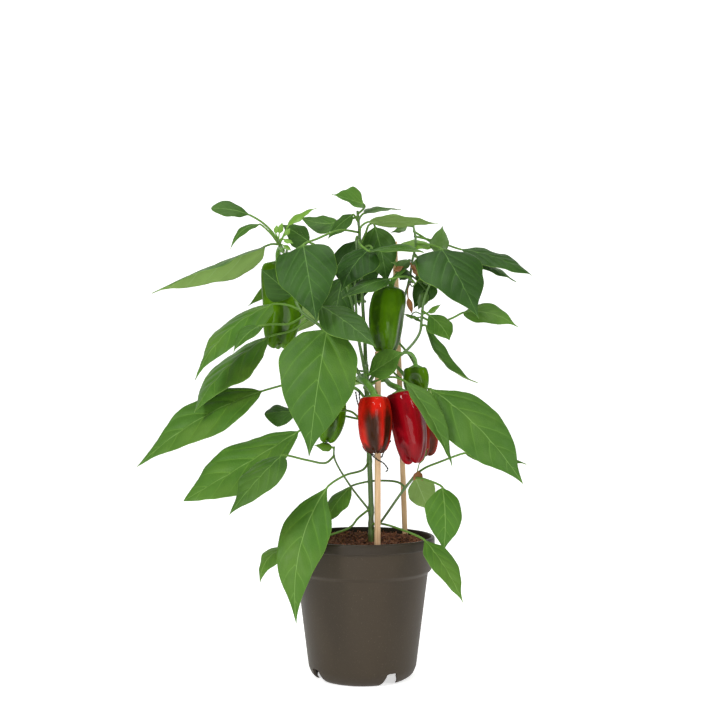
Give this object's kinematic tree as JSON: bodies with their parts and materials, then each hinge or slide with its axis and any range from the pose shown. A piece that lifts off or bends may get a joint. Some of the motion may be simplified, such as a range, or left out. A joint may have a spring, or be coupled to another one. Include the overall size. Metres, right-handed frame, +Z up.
{
  "type": "potted bell pepper plant",
  "caption": "Bushy bell pepper plant with hanging blocky fruit and pointed leaves, held by wooden stakes in a tapered nursery pot.",
  "frame": {"origin": "centre of the pot's underside, on the surface that it stands on", "axes": "+Z up along the pot's axis, -Y towards the front of the plant, +X to its right"},
  "size_m": [0.4473, 0.2769, 0.5712],
  "materials": {
    "pot_plastic": "matt taupe, faint vertical shading",
    "potting_mix": "coarse dark brown fibre",
    "stake_wood": "sawn, unfinished",
    "tie_wire": "coated wire",
    "green_stem": "smooth, satin",
    "leaf_green": "soft sheen, pale veins, paler underneath",
    "green_pepper": "waxy gloss",
    "scarlet_pepper": "waxy gloss with brown-green patches",
    "crimson_pepper": "waxy gloss",
    "maroon_pepper": "waxy gloss with brown patches"
  },
  "bodies": {
    "root": {"pot": "pot_plastic", "soil": "potting_mix", "stake_front": "stake_wood", "stake_back": "stake_wood", "tie_lower": "tie_wire", "tie_upper": "tie_wire", "stem": "green_stem", "pepper_red_1": "scarlet_pepper", "pepper_red_2": "crimson_pepper", "pepper_red_3": "maroon_pepper", "pepper_green_1": "green_pepper", "pepper_green_2": "green_pepper", "pepper_green_3": "green_pepper", "pepper_green_4": "green_pepper", "leaf_top_1": "leaf_green", "leaf_top_2": "leaf_green", "leaf_top_3": "leaf_green", "leaf_top_4": "leaf_green", "leaf_top_5": "leaf_green", "leaf_top_6": "leaf_green", "leaf_top_7": "leaf_green", "leaf_top_8": "leaf_green", "leaf_left_1": "leaf_green", "leaf_left_2": "leaf_green", "leaf_left_3": "leaf_green", "leaf_left_4": "leaf_green", "leaf_left_5": "leaf_green", "leaf_left_6": "leaf_green", "leaf_left_7": "leaf_green", "leaf_left_8": "leaf_green", "leaf_left_9": "leaf_green", "leaf_left_10": "leaf_green", "leaf_left_11": "leaf_green", "leaf_front_1": "leaf_green", "leaf_front_2": "leaf_green", "leaf_front_3": "leaf_green", "leaf_front_4": "leaf_green", "leaf_front_5": "leaf_green", "leaf_front_6": "leaf_green", "leaf_front_7": "leaf_green", "leaf_right_1": "leaf_green", "leaf_right_2": "leaf_green", "leaf_right_3": "leaf_green", "leaf_right_4": "leaf_green", "leaf_right_5": "leaf_green", "leaf_right_6": "leaf_green", "leaf_right_7": "leaf_green", "leaf_right_8": "leaf_green", "leaf_right_9": "leaf_green", "leaf_right_10": "leaf_green", "leaf_low_1": "leaf_green", "leaf_low_2": "leaf_green", "leaf_low_3": "leaf_green", "leaf_low_4": "leaf_green", "leaf_low_5": "leaf_green", "leaf_low_6": "leaf_green", "leaf_back_1": "leaf_green", "leaf_back_2": "leaf_green", "leaf_back_3": "leaf_green", "leaf_back_4": "leaf_green"}
  },
  "joints": []
}
